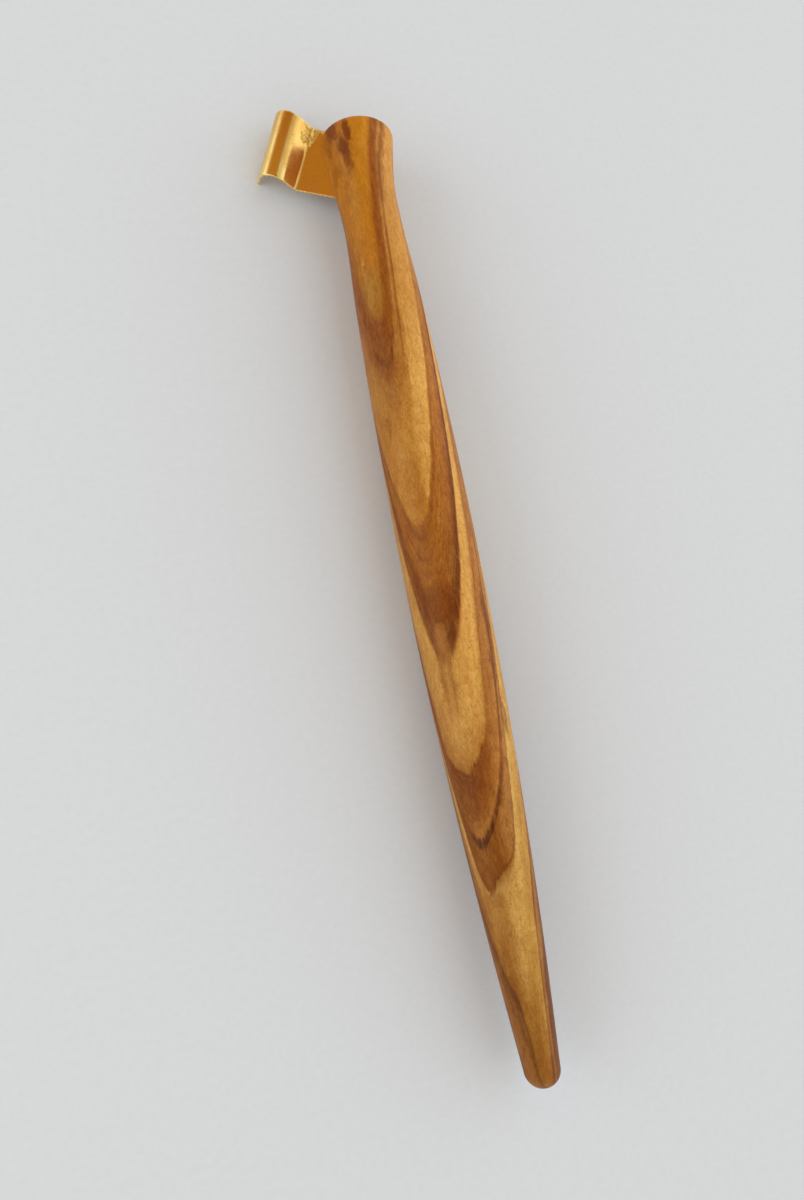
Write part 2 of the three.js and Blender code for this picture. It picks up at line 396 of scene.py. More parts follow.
# Stretches of the shells with a tone of their own, and some with painted haze, painted shade and painted
# light: tone, strength, then the ranges they lie in, by turn, by how far the turn is off the tips', by age,
# and along the staff, which counts down to the tail
TONE_PATCHES = [
    # first brown shell: its inner side, its bend, where it fades, and its flank, painted paler as a haze of
    # reflected light
    ("#A4622A", 0.15, [("turn", 0.74, 0.60), ("turn", 0.56, 0.62), ("age", 1.36, 1.40), ("age", 1.90, 1.80)]),
    ("#74380E", 0.62, [
        ("age", 1.46, 1.50), ("age", 1.60, 1.55), ("off_tip", 0.13, 0.06), ("turn", 0.62, 0.56),
    ]),
    ("#C08236", 0.75, [("turn", 0.668, 0.626), ("age", 1.66, 1.74), ("age", 2.02, 1.95)]),
    ("#C08048", 0.40, [("turn", 0.37, 0.27), ("age", 0.98, 1.05), ("age", 2.1, 1.8)]),
    # the gold between the shells, then the second brown shell's low side and its early stretch
    ("#E2A852", 0.80, [
        ("turn", 0.575, 0.655), ("age", 2.05, 2.30), ("age", 2.99, 2.95), ("along", -32.0, -44.0),
    ]),
    ("#B06C2A", 0.50, [("turn", 0.58, 0.66), ("age", 3.38, 3.46), ("age", 3.80, 3.70)]),
    ("#BC7E2C", 0.70, [
        ("along", -52.0, -24.0), ("turn", 0.60, 0.68), ("age", 2.96, 3.02), ("age", 4.06, 4.00),
    ]),
    # the paler flank of the third, and the dark rim of the second
    ("#C68C44", 0.50, [("turn", 0.60, 0.69), ("age", 6.06, 6.14), ("age", 6.95, 6.88)]),
    ("#642804", 1.00, [
        ("age", 3.64, 3.84), ("age", 4.00, 3.96), ("off_tip", 0.0, 0.08), ("turn", 0.50, 0.60, 0.35, 0.85),
    ]),
    # third brown shell: its soft side, its upper side, and its dark line away from the tip
    ("#BA7C34", 0.55, [("turn", 0.62, 0.72), ("age", 4.94, 5.04), ("age", 5.88, 5.80)]),
    ("#8C4C16", 0.75, [("turn", 0.46, 0.39), ("age", 5.25, 5.50), ("age", 6.10, 6.04)]),
    ("#8E5014", 0.55, [("age", 5.82, 5.90), ("age", 6.14, 6.04), ("off_tip", 0.08, 0.20)]),
    # the tail's left and right: partly their own tones, partly painted shade on the left and painted light on
    # the right
    ("#B2762C", 0.80, [("turn", 0.61, 0.53), ("turn", 0.33, 0.41), ("age", 7.02, 7.07), ("age", 7.52, 7.36)]),
    ("#C4903C", 0.75, [("turn", 0.59, 0.70), ("age", 7.10, 7.35), ("age", 7.99, 7.92)]),
]
# Noises of the wood: grains in a millimetre across, along and up, then detail and roughness
HALF = (0.5, 0.5, 0.5)
FEATHER = ((5.0, 0.22, 5.0), 3.0, 0.6)
PATCHES = ((1.3, 0.45, 1.3), 3.0, 0.65)
STREAKS = ((1.5, 0.05, 1.5), 4.0, 0.6)
HUE = ((0.5, 0.14, 0.5), 3.0, 0.6)
SLOW = ((0.22, 0.11, 0.22), 3.0, 0.6)
MOTTLE = ((1.1, 0.5, 1.1), 3.0, 0.65)
FLECKS = ((4.2, 2.0, 4.2), 2.0, 0.7)
FIBRES = ((9.0, 0.5, 9.0), 3.0, 0.65)
PEPPER = ((3.4, 1.5, 3.4), 3.0, 0.75)
PORES = ((12.0, 1.1, 12.0), 2.0, 0.5)
# Noises that push the shells, and those that push the stains: the noise, and how far it pushes
SHELL_PUSHES = [
    (((0.16, 0.035, 0.16), 2.0, 0.5), (0.15, 1.4, 0.15)),
    (((0.7, 0.16, 0.7), 3.0, 0.6), (0.12, 1.8, 0.12)),
]
STAIN_PUSHES = [(((1.0, 0.6, 1.0), 3.0, 0.6), (1.5, 3.2, 1.5))]
# Fine rings: how many in a shell, and how much they feather
RINGS_IN_SHELL = 16.0
RING_FEATHER = 0.6
# Tints: the noise, from where to where, strength, tone, and the kind of wood that takes it
FINE_TINTS = [
    ("rings", 0.48, 0.68, 0.42, "#7E3C10", "brown"), ("rings", 0.50, 0.30, 0.25, "#C07C30", "brown"),
    ("patches", 0.50, 0.66, 0.45, "#6A3008", "brown"), ("patches", 0.46, 0.32, 0.35, "#AC6A28", "brown"),
    ("streaks", 0.48, 0.75, 0.40, "#B4702A", "all"),
]
HUE_TINTS = [("hue", 0.55, 0.75, 0.30, "#AE5E12", "all"), ("hue", 0.48, 0.28, 0.40, "#D2A044", "gold")]
# Shades: from where to where in the noise, how dark, how light
SLOW_SHADE = (0.30, 0.70, 0.88, 1.10)
MOTTLE_SHADE = (0.25, 0.75, 0.86, 1.12)
FIBRE_SHADE = (0.25, 0.75, 0.86, 1.10)
PEPPER_SHADE = (0.30, 0.70, 0.82, 1.16)
FLECK_SHADE = (0.55, 0.68, 0.0, 0.37)
FLECKS_ALONG = (-22.0, -50.0, 0.3, 1.0)
SHADE_TOP = 1.03
RED_POWER = 0.7
BLUE_POWER = 1.5
# Varnish, fibres and pores
FIBRE_GLOSS = (0.2, 0.8, 0.40, 0.52)
VARNISH_SPECULAR = 0.22
VARNISH_TINT = (1.0, 0.80, 0.55, 1.0)
FIBRE_HEIGHT = 0.5
PORE_EDGE = (0.30, 0.42)
WOOD_BUMP = (0.012, 0.6)
# Painted light: the staff's left side is painted deeper in tone and its right side paler, as the light falls
# from the right: from one reach to the other, to the right
PAINTED_LIGHT_REACH = (-5.0, 6.0)
PAINTED_LIGHT_TONES = [
    (0.0, (0.67, 0.65, 0.68, 1.0)), (0.18, (0.72, 0.71, 0.73, 1.0)), (0.55, (0.83, 0.84, 0.84, 1.0)),
    (0.73, (0.99, 1.02, 1.06, 1.0)), (0.91, (1.13, 1.20, 1.30, 1.0)), (1.0, (1.15, 1.20, 1.26, 1.0)),
]
# Stains and knots: (distance, angle), (reach along, reach across), strength, tone
STAIN_CORE = 0.45
STAIN_DEPTH = 1.0
STAINS = [
    ((2.4, -38), (2.3, 1.9), 0.84, "#7A3000"), ((3.6, -11), (2.8, 0.95), 0.86, "#7A3000"),
    ((5.8, -24), (3.0, 1.35), 0.86, "#7A3000"), ((8.4, -19), (3.4, 1.1), 0.70, "#803800"),
    ((4.0, -54), (2.8, 1.8), 0.40, "#7E3A06"), ((9.4, -56), (2.0, 2.6), 0.35, "#7E3A06"),
    ((12.5, 30), (6.0, 1.2), 0.55, "#8C4A10"), ((33.0, -25), (6.0, 2.8), 0.50, "#A4742A"),
    ((14.0, -33), (3.0, 1.2), 0.30, "#A25C10"), ((26.8, -30.8), (0.8, 0.26), 0.62, "#E4B05C"),
    ((56.0, -36), (2.6, 0.8), 0.45, "#98541A"), ((90.0, 58), (8.0, 0.7), 0.75, "#6C2E06"),
    ((97.0, 52), (4.5, 0.6), 0.65, "#703206"), ((105.0, 56), (4.5, 0.6), 0.60, "#703206"),
    ((132.2, -26), (1.1, 2.2), 0.40, "#9C6226"), ((98.0, -22), (8.0, 2.0), 0.40, "#AE7026"),
    ((99.0, -16), (6.0, 0.5), 0.40, "#A0601E"), ((3.2, 51), (2.8, 0.7), 0.60, "#8E4C12"),
    ((6.4, 45), (3.2, 0.7), 0.60, "#8E4C12"), ((9.4, 38), (3.2, 0.8), 0.55, "#8E4C12"),
    ((86.0, 6), (4.0, 0.8), 0.60, "#6C2E08"), ((91.2, -4), (2.8, 0.7), 0.38, "#702E0A"),
    ((90.8, -20), (2.8, 1.3), 0.60, "#B87834"), ((159.5, 50), (5.0, 1.6), 0.60, "#7A4212"),
    ((97.0, -30), (6.0, 0.5), 0.40, "#A0601E"), ((86.0, -34), (4.0, 0.9), 0.45, "#74360E"),
    ((85.0, -14), (3.0, 3.2), 0.30, "#7C3C10"),
]


def spline(points, steps):
    """Catmull-Rom line through the points, with its ends repeated."""
    line = []
    for i in range(len(points) - 1):
        before, here, there, after = (
            points[max(i - 1, 0)], points[i], points[i + 1], points[min(i + 2, len(points) - 1)]
        )
        for step in range(steps):
            t = step / steps
            line.append(tuple(
                (2 * b - 2 * c + (c - a) / 2 + (d - b) / 2) * t ** 3
                + (-3 * b + 3 * c - (c - a) - (d - b) / 2) * t ** 2
                + (c - a) / 2 * t + b
                for a, b, c, d in zip(before, here, there, after)
            ))
    return line + [tuple(points[-1])]


def staff_profile():
    """(radius, distance from the head's end), from the head's end to the tail."""
    stations = []
    distance = 0.0
    for run, radius in STATION_RUNS:
        distance += run
        stations.append((radius, distance))
    taper = STAFF_LENGTH - TIP_ROUNDING - distance
    belly = stations[-1][0]
    for i in range(1, TAPER_SPANS + 1):
        part = i / TAPER_SPANS
        radius = belly - (belly - TIP_RADIUS) * part ** TAPER_POWER
        stations.append((radius, distance + part * taper))
    dome, tip = [], []
    for i in range(END_STEPS):
        turn = i / END_STEPS * math.pi / 2
        dome.append((stations[0][0] * math.sin(turn), DOME_HEIGHT * (1 - math.cos(turn))))
        tip.append((TIP_RADIUS * math.sin(turn), STAFF_LENGTH - TIP_ROUNDING * (1 - math.cos(turn))))
    return dome + spline(stations, SPAN_STEPS) + tip[::-1]


PROFILE = staff_profile()


def radius_at(distance):
    """The staff's radius at a distance from its head's end, in millimetres."""
    for (radius, depth), (next_radius, next_depth) in zip(PROFILE, PROFILE[1:]):
        if depth <= distance <= next_depth:
            return radius + (next_radius - radius) * (distance - depth) / (next_depth - depth)
    raise ValueError(f"the staff doesn't reach {distance} mm")


def growth_curves():
    """Each growth line as points of a curve: how far round the pith, and how far along the staff."""
    curves = []
    for distances in GROWTH_LINES:
        points = []
        for angle, distance in zip(TABLE_ANGLES, distances):
            radius = radius_at(min(max(distance, DOME_HEIGHT), STAFF_LENGTH - TIP_ROUNDING))
            across = radius * math.sin(math.radians(angle - RIDGE_ANGLE))
            height = radius * math.cos(math.radians(angle - RIDGE_ANGLE)) + PITH_DEPTH
            turn = math.degrees(math.atan2(across, height)) / TURN_REACH / 2 + 0.5
            points.append((turn, distance - SHELL_SLOPE * (math.hypot(across, height) - SHELL_RADIUS)))
        turns, places = zip(*sorted(points))
        along = np.interp(TURN_KNOTS, turns, places)
        if curves:
            along = np.maximum(along, curves[-1] + LEAST_SHELL)
        curves.append(along)
    reach = AGE_END - AGE_START
    return [list(zip(TURN_KNOTS.tolist(), ((along - AGE_START) / reach).tolist())) for along in curves]


def olive_wood():
    wood = Finish("olive_wood")
    grain = wood.place(ON_DESK @ Matrix.Rotation(math.radians(RIDGE_ANGLE), 4, "Y"))

    # the turn and the age of each place
    across, along, height = wood.split(pushed(wood, grain, SHELL_PUSHES))
    height = height + PITH_DEPTH
    turn = wood.add("ShaderNodeMath", {"operation": "ARCTAN2"}, {0: across, 1: height})
    turn = turn * (0.5 / math.radians(TURN_REACH)) + 0.5
    shell = (across * across + height * height) ** 0.5
    feather = wood.noise(grain, *FEATHER)
    off_tip = wood.add("ShaderNodeMath", {"operation": "ABSOLUTE"}, {0: turn - TIP_TURN})
    tip = wood.step(off_tip, *TIP_REACH)
    distance = (
        (shell - SHELL_RADIUS) * -SHELL_SLOPE - along
        + (feather - 0.5) * (FEATHER_LENGTH + tip * FEATHER_AT_TIP)
    )
    age = growth_age(wood, (distance - AGE_START) * (1 / (AGE_END - AGE_START)), turn)

    # the tones of the shells
    share = age * (1 / (len(GROWTH_LINES) - 1))
    color = wood.ramp(share, growth_stops(painted(CALENDAR)))
    tail_color = wood.ramp(share, growth_stops(painted(TAIL_CALENDAR)))
    color = wood.mix(wood.step(age, *TAIL_START, curve="LINEAR"), color, tail_color)
    brown_stops = [(line, (part, part, part, 1)) for line, part in BROWN_SHARES]
    brown = wood.ramp(share, growth_stops(brown_stops))
    soft_color = wood.ramp(share, growth_stops(painted(SOFT_CALENDAR)))
    measures = {"turn": turn, "off_tip": off_tip, "age": age, "along": along}
    color = wood.mix(within(wood, measures, SOFT_RANGES), color, soft_color)
    for tone, strength, ranges in TONE_PATCHES:
        color = wood.mix(within(wood, measures, ranges) * strength, color, paint(tone))

    # fine lines inside the brown shells, streaks along the grain, stains, and slow changes of hue
    noises = {
        "rings": wood.add("ShaderNodeTexNoise", {"noise_dimensions": "1D"}, {
            "W": age * RINGS_IN_SHELL + (feather - 0.5) * RING_FEATHER,
            "Scale": 1.0, "Detail": 2.0, "Roughness": 0.6,
        }),
        "patches": wood.noise(grain, *PATCHES),
        "streaks": wood.noise(grain, *STREAKS),
        "hue": wood.noise(grain, *HUE),
    }
    kinds = {"brown": brown, "gold": 1 - brown}
    color = tinted(wood, color, FINE_TINTS, noises, kinds)
    ragged = pushed(wood, grain, STAIN_PUSHES)
    for spot, reach, strength, tone in STAINS:
        color = wood.mix(stain(wood, ragged, spot, reach) * strength, color, paint(tone))
    color = tinted(wood, color, HUE_TINTS, noises, kinds)

    # light and dark in the wood, with more flecks away from the head, then painted light across the staff
    fibres = wood.noise(grain, *FIBRES)
    fleck = wood.step(wood.noise(grain, *FLECKS), *FLECK_SHADE) * wood.step(along, *FLECKS_ALONG)
    shade = wood.step(wood.noise(grain, *SLOW), *SLOW_SHADE)
    shade = shade * wood.step(wood.noise(grain, *MOTTLE), *MOTTLE_SHADE)
    shade = shade * wood.step(fibres, *FIBRE_SHADE)
    shade = shade * wood.step(wood.noise(grain, *PEPPER), *PEPPER_SHADE, "LINEAR")
    shade = shade * (SHADE_TOP - fleck)
    color = wood.mix(1.0, color, wood.add("ShaderNodeCombineXYZ", None, {
        "X": shade ** RED_POWER, "Y": shade, "Z": shade ** BLUE_POWER,
    }), "MULTIPLY")
    # painted light: the left side painted deeper and the right side paler, as the lamps fall from the right
    side, _, _ = wood.split(grain)
    painted_light = wood.ramp(wood.step(side, *PAINTED_LIGHT_REACH, curve="LINEAR"), PAINTED_LIGHT_TONES)
    color = wood.mix(1.0, color, painted_light, "MULTIPLY")

    relief = fibres * FIBRE_HEIGHT + wood.step(wood.noise(grain, *PORES), *PORE_EDGE)
    return wood.surface({
        "Base Color": color,
        "Roughness": wood.step(fibres, *FIBRE_GLOSS, "LINEAR"),
        "Specular IOR Level": VARNISH_SPECULAR,
        "Specular Tint": VARNISH_TINT,
        "Normal": wood.bump(relief, *WOOD_BUMP),
    })


def pushed(wood, grain, pushes):
    """The places in the wood, pushed aside by noises."""
    place = grain
    for noise, push in pushes:
        offset = wood.vector("SUBTRACT", wood.noise(grain, *noise, "Color"), HALF)
        place = wood.vector("MULTIPLY_ADD", offset, push, place)
    return place


def growth_age(wood, place, turn):
    """The number of growth lines before a place, and the share of the way to the next one."""
    lines = [
        wood.add("ShaderNodeFloatCurve", {"points": curve}, {"Value": turn})
        for curve in growth_curves()
    ]
    age = wood.step(place, lines[0], lines[1], curve="LINEAR")
    for line, following in zip(lines[1:], lines[2:]):
        age = age + wood.step(place, line, following, curve="LINEAR")
    return age


def growth_stops(stops):
    """Ramp stops that are given by age."""
    return [(age / (len(GROWTH_LINES) - 1), tone) for age, tone in stops]


def within(wood, measures, ranges):
    """1, or what a range ends with, where each measure is past its range, and 0 before one."""
    share = None
    for name, *limits in ranges:
        passed = wood.step(measures[name], *limits)
        share = passed if share is None else share * passed
    return share


def tinted(wood, color, tints, noises, kinds):
    """The colour with each tint over it, by its noise and in its kind of wood."""
    for name, start, end, strength, tone, kind in tints:
        cover = wood.step(noises[name], start, end, 0.0, strength)
        if kind in kinds:
            cover = cover * kinds[kind]
        color = wood.mix(cover, color, paint(tone))
    return color


def stain(wood, ragged, spot, reach):
    """1 at a spot of the staff, given by its distance and angle, and 0 past its reach along and across."""
    distance, angle = spot
    radius = radius_at(distance)
    centre = (
        radius * math.sin(math.radians(angle - RIDGE_ANGLE)), -distance,
        radius * math.cos(math.radians(angle - RIDGE_ANGLE)),
    )
    offset = wood.vector("SUBTRACT", ragged, centre)
    offset = wood.vector("DIVIDE", offset, (reach[1], reach[0], max(reach[1], STAIN_DEPTH)))
    length = wood.add("ShaderNodeVectorMath", {"operation": "LENGTH"}, {0: offset}, "Value")
    return wood.step(length, 1.0, STAIN_CORE)


# Brass and solder, with noises on the channel's own axes: out, up and along
SMUDGES = ((0.45, 0.45, 0.30), 3.0, 0.55)
SMUDGE_EDGE = (0.35, 0.70)
DULL_EDGE = (0.30, 0.75)
DULL_LEAST = 0.05
DULL_MOST = 0.10
SPOTS = ((2.2, 2.2, 2.2), 1.0, 0.4)
SPOT_EDGE = (0.70, 0.78)
SPOT_TONE = "#7A5A20"
SPOT_STRENGTH = 0.5
SPOT_DULLNESS = 0.2
# Scratches along the channel and across it, and fine unevenness: the noise and its height
BRASS_RELIEF = [
    (((14.0, 14.0, 0.5), 2.0, 0.6), 0.4), (((1.2, 1.2, 16.0), 2.0, 0.6), 0.2),
    (((3.0, 3.0, 3.0), 3.0, 0.6), 1.5),
]
BRASS_BUMP = (0.006, 0.5)
# The arch has painted reflections: it is painted paler at the mouth and warmer at the back, and its outer
# shoulder is
# painted pale as a reflection of the room: how far out each starts and is full, and by what the tone is
# multiplied
ARCH_REFLECTION_OUT = (9.6, 11.4)
ARCH_REFLECTION_TONES = [(0.0, (1.06, 1.14, 1.28, 1.0)), (1.0, (0.90, 0.85, 0.74, 1.0))]
SHOULDER_REFLECTION_OUT = (15.3, 16.3)
SHOULDER_REFLECTION_TONE = (1.06, 1.16, 1.34, 1.0)
# The sawn edges of the mouth and the back are filed and a little ragged, and painted pale: partly bright
# filed brass, partly a painted highlight
RAGGED_EDGE = ((2.4, 2.4, 2.4), 2.0, 0.6)
RAGGED_DEPTH = 0.5
FILED_FRONT = (0.30, 0.08)
FILED_DEPTH = 0.2
FILED_HIGHLIGHT_TONE = "#F0DCA4"
FILED_HIGHLIGHT_STRENGTH = 0.8
FILED_PLAINNESS = 0.45
FILED_DULLNESS = 0.15

SOLDER_GRAIN = ((2.5, 2.5, 2.5), 3.0, 0.6)
SOLDER_TONES = [(0.30, "#C69A40"), (0.50, "#E6BE62"), (0.70, "#F6D886")]
SOLDER_PORES = ((4.4, 4.4, 4.4), 1.0, 0.4)
SOLDER_PORE_EDGE = (0.66, 0.74)
SOLDER_PORE_TONE = "#7A5A1C"
SOLDER_PORE_DEPTH = 0.8
SOLDER_METALLIC = 0.9
SOLDER_GLOSS = (0.3, 0.7, 0.38, 0.55)
SOLDER_BUMP = (0.02, 0.4)


def brass(name, light, warm, roughness):
    metal = Finish(name)
    place = metal.place(CHANNEL)
    smudge = metal.noise(place, *SMUDGES)
    tint = metal.mix(metal.step(smudge, *SMUDGE_EDGE), paint(light), paint(warm))
    spots = metal.step(metal.noise(place, *SPOTS), *SPOT_EDGE)
    tint = metal.mix(spots * SPOT_STRENGTH, tint, paint(SPOT_TONE))
    dull = metal.step(smudge, *DULL_EDGE, roughness - DULL_LEAST, roughness + DULL_MOST)
    scratches, crossed, fine = [metal.noise(place, *noise) * height for noise, height in BRASS_RELIEF]

    # the painted reflection along the arch, then the painted reflection on its shoulder
    out, _, along = metal.split(place)
    lengthwise = metal.step(along, -CHANNEL_LENGTH / 2, CHANNEL_LENGTH / 2, curve="LINEAR")
    arch_reflection = metal.mix(1.0, tint, metal.ramp(lengthwise, ARCH_REFLECTION_TONES), "MULTIPLY")
    tint = metal.mix(metal.step(out, *ARCH_REFLECTION_OUT), tint, arch_reflection)
    shoulder_reflection = metal.mix(1.0, tint, SHOULDER_REFLECTION_TONE, "MULTIPLY")
    tint = metal.mix(metal.step(out, *SHOULDER_REFLECTION_OUT), tint, shoulder_reflection)

    # the filed edges, painted pale partly as a highlight
    ragged = (metal.noise(place, *RAGGED_EDGE) - 0.5) * RAGGED_DEPTH
    mouth = (out - CREASE_DISTANCE) * math.tan(MOUTH_SKEW) + CHANNEL_LENGTH / 2 - along + ragged
    back = metal.step(along + ragged, FILED_BACK, FILED_BACK - FILED_DEPTH)
    filed_highlight = metal.step(mouth, *FILED_FRONT) + back
    tint = metal.mix(filed_highlight * FILED_HIGHLIGHT_STRENGTH, tint, paint(FILED_HIGHLIGHT_TONE))
    return metal.surface({
        "Base Color": tint,
        "Metallic": 1 - filed_highlight * FILED_PLAINNESS,
        "Roughness": dull + spots * SPOT_DULLNESS + filed_highlight * FILED_DULLNESS,
        "Normal": metal.bump(scratches + crossed + fine, *BRASS_BUMP),
    })


def solder_finish():
    metal = Finish("solder")
    place = metal.place(CHANNEL)
    grain = metal.noise(place, *SOLDER_GRAIN)
    pores = metal.step(metal.noise(place, *SOLDER_PORES), *SOLDER_PORE_EDGE)
    tint = metal.mix(pores, metal.ramp(grain, painted(SOLDER_TONES)), paint(SOLDER_PORE_TONE))
    return metal.surface({
        "Base Color": tint,
        "Metallic": SOLDER_METALLIC,
        "Roughness": metal.step(grain, *SOLDER_GLOSS),
        "Normal": metal.bump(grain - pores * SOLDER_PORE_DEPTH, *SOLDER_BUMP),
    })


# Pieces

def grown(tree, mesh, name, values):
    """The plain mesh that a tree of Geometry Nodes makes of a mesh, as an object of its own."""
    piece = bpy.data.objects.new(name, mesh)
    bpy.context.scene.collection.objects.link(piece)
    modifier = piece.modifiers.new("shape", "NODES")
    modifier.node_group = tree
    for item in tree.interface.items_tree:
        if item.item_type == "SOCKET" and item.name in values:
            modifier[item.identifier] = values[item.name]
    view = bpy.context.evaluated_depsgraph_get()
    made = bpy.data.meshes.new_from_object(piece.evaluated_get(view))
    piece.modifiers.remove(modifier)
    made.name = name
    piece.data = made
    return piece


TURNING_INPUTS = [
    ("Profile", "NodeSocketGeometry"), ("Sides", "NodeSocketInt"), ("Head slant", "NodeSocketFloat"),
    ("Slant reach", "NodeSocketFloat"), ("Swell", "NodeSocketFloat"), ("Swell place", "NodeSocketFloat"),
    ("Swell reach", "NodeSocketFloat"), ("Sanding depth", "NodeSocketFloat"),
    ("Cut size", "NodeSocketVector"), ("Cut place", "NodeSocketVector"),
    ("Cut turn", "NodeSocketRotation"), ("Desk place", "NodeSocketVector"),
    ("Desk turn", "NodeSocketRotation"), ("Finish", "NodeSocketMaterial"),
]


def turning_tree():
    """Turns a profile about Y, leans its head, saws it, and lays it on the desk."""
    tree = bpy.data.node_groups.new("turned_staff", "GeometryNodeTree")
    for name, kind in TURNING_INPUTS:
        tree.interface.new_socket(name, in_out="INPUT", socket_type=kind)
    tree.interface.new_socket("Staff", in_out="OUTPUT", socket_type="NodeSocketGeometry")
    board = Board(tree)
    (profile, sides, slant, slant_reach, swell, swell_place, swell_reach, sanding, cut_size, cut_place,
     cut_turn, desk_place, desk_turn, finish) = board.add(
        "NodeGroupInput", output=tuple(range(len(TURNING_INPUTS))))

    def whole(operation, first, second):
        return board.add("FunctionNodeIntegerMath", {"operation": operation}, {0: first, 1: second})

    count = board.add("GeometryNodeAttributeDomainSize", {"component": "MESH"}, {0: profile}, "Point Count")
    around = whole("ADD", sides, 1)
    grid = board.add("GeometryNodeMeshGrid", None, {"Vertices X": count, "Vertices Y": around})
    index = board.add("GeometryNodeInputIndex")
    station = whole("DIVIDE_FLOOR", index, around)
    side = whole("MODULO", index, around)
    place = board.add("GeometryNodeInputPosition")
    sample = board.add("GeometryNodeSampleIndex", {"data_type": "FLOAT_VECTOR"}, {
        "Geometry": profile, "Value": place, "Index": station,
    })
    radius, along, _ = board.add("ShaderNodeSeparateXYZ", None, {0: sample}, ("X", "Y", "Z"))
    angle = side * (2 * math.pi) / sides
    sine = board.add("ShaderNodeMath", {"operation": "SINE"}, {0: angle})
    cosine = board.add("ShaderNodeMath", {"operation": "COSINE"}, {0: angle})
    ring = board.add("ShaderNodeCombineXYZ", None, {"X": radius * sine, "Y": along, "Z": radius * cosine})
    turned = board.add("GeometryNodeSetPosition", None, {"Geometry": grid, "Position": ring})
    turned = board.add("GeometryNodeMergeByDistance", None, {
        "Geometry": turned, "Distance": MERGE_REACH * MM,
    })

    normal = board.add("GeometryNodeInputNormal")
    grit = board.add("ShaderNodeTexNoise", {"noise_dimensions": "4D"}, {
        "Vector": place, "W": SANDING_SEED, "Scale": SANDING_SCALE, "Detail": 1.0,
    })
    sanded = board.add("ShaderNodeVectorMath", {"operation": "SCALE"}, {
        0: normal, "Scale": (grit - 1.0) * sanding,
    })
    turned = board.add("GeometryNodeSetPosition", None, {"Geometry": turned, "Offset": sanded})

    x, y, _ = board.add("ShaderNodeSeparateXYZ", None, {0: place}, ("X", "Y", "Z"))
    fade = board.add("ShaderNodeMapRange", {"interpolation_type": "SMOOTHSTEP"}, {
        0: y * -1, 1: 0.0, 2: slant_reach, 3: 1.0, 4: 0.0,
    })
    off = (y * -1 - swell_place) / swell_reach
    bulge = board.add("ShaderNodeMath", {"operation": "EXPONENT"}, {0: off * off * -1})
    lean = board.add("ShaderNodeCombineXYZ", None, {"X": swell * bulge * -1, "Y": x * slant * fade * -1})
    leaned = board.add("GeometryNodeSetPosition", None, {"Geometry": turned, "Offset": lean})

    saw = board.add("GeometryNodeMeshCube", None, {"Size": cut_size})
    saw = board.add("GeometryNodeTransform", None, {
        "Geometry": saw, "Translation": cut_place, "Rotation": cut_turn,
    })
    sawn = board.add("GeometryNodeMeshBoolean", {"operation": "DIFFERENCE", "solver": "EXACT"}, {
        "Mesh 1": leaned, "Mesh 2": saw,
    })
    laid = board.add("GeometryNodeTransform", None, {
        "Geometry": sawn, "Translation": desk_place, "Rotation": desk_turn,
    })
    smooth = board.add("GeometryNodeSetShadeSmooth", {"domain": "FACE"}, {"Geometry": laid})
    bend = board.add("GeometryNodeInputMeshEdgeAngle")
    corner = board.add("FunctionNodeCompare", {"data_type": "FLOAT", "operation": "GREATER_THAN"}, {
        0: bend, 1: CORNER_ANGLE,
    })
    smooth = board.add("GeometryNodeSetShadeSmooth", {"domain": "EDGE"}, {
        "Geometry": smooth, "Selection": corner, "Shade Smooth": False,
    })
    real = board.add("GeometryNodeRealizeInstances", None, {"Geometry": smooth})
    dressed = board.add("GeometryNodeSetMaterial", None, {"Geometry": real, "Material": finish})
    board.add("NodeGroupOutput", None, {0: dressed})
    return tree


def turned_staff(finish):
    mesh = bpy.data.meshes.new("staff_profile")
    corners = [(radius * MM, -distance * MM, 0) for radius, distance in PROFILE]
    mesh.from_pydata(corners, [(i, i + 1) for i in range(len(corners) - 1)], [])
    low = CREASE_DISTANCE - WEB_WIDTH - SLOT_FLOOR_FIT
    high = STATION_RUNS[0][1] + CUT_OVERSHOOT
    back = -CHANNEL_LENGTH / 2 - SLOT_FLOOR_FIT
    front = CHANNEL_SETBACK + CUT_OVERSHOOT
    middle = Vector(((low + high) / 2, 0, (back + front) / 2))
    return grown(turning_tree(), mesh, "turned_staff", {
        "Sides": STAFF_SIDES,
        "Head slant": math.tan(HEAD_SLANT),
        "Slant reach": HEAD_SLANT_REACH * MM,
        "Swell": SLOT_SWELL * MM,
        "Swell place": SLOT_SWELL_PLACE * MM,
        "Swell reach": SLOT_SWELL_REACH * MM,
        "Sanding depth": SANDING_DEPTH * MM,
        "Cut size": Vector((high - low, SHEET_THICKNESS + 2 * SLOT_FIT, front - back)) * MM,
        "Cut place": (CHANNEL_ON_STAFF @ middle) * MM,
        "Cut turn": CHANNEL_ON_STAFF.to_euler(),
        "Desk place": STAFF_PLACE * MM,
        "Desk turn": ON_DESK.to_euler(),
        "Finish": finish,
    })


def bent_line(start, end_angle, end_length):
    """(place, slope) along the line that the sheet is bent to, out from the staff and up."""
    line = [(Vector((start, 0)), 0.0)]
    place = Vector((CREASE_DISTANCE, 0))
    for begin, end, radius, steps, run in (
        (0.0, FLANK_ANGLE, CREASE_RADIUS, CREASE_STEPS, FLANK_LENGTH),
        (FLANK_ANGLE, end_angle, CROWN_RADIUS, CROWN_STEPS, end_length),
    ):
        side = math.copysign(1, end - begin) * radius
        centre = place + Vector((-side * math.sin(begin), side * math.cos(begin)))
        for i in range(steps + 1):
            slope = begin + (end - begin) * i / steps
            line.append((centre + Vector((side * math.sin(slope), -side * math.cos(slope))), slope))
        place = line[-1][0] + run * Vector((math.cos(line[-1][1]), math.sin(line[-1][1])))
    if end_length > 0:
        line.append((place, line[-1][1]))
    return line


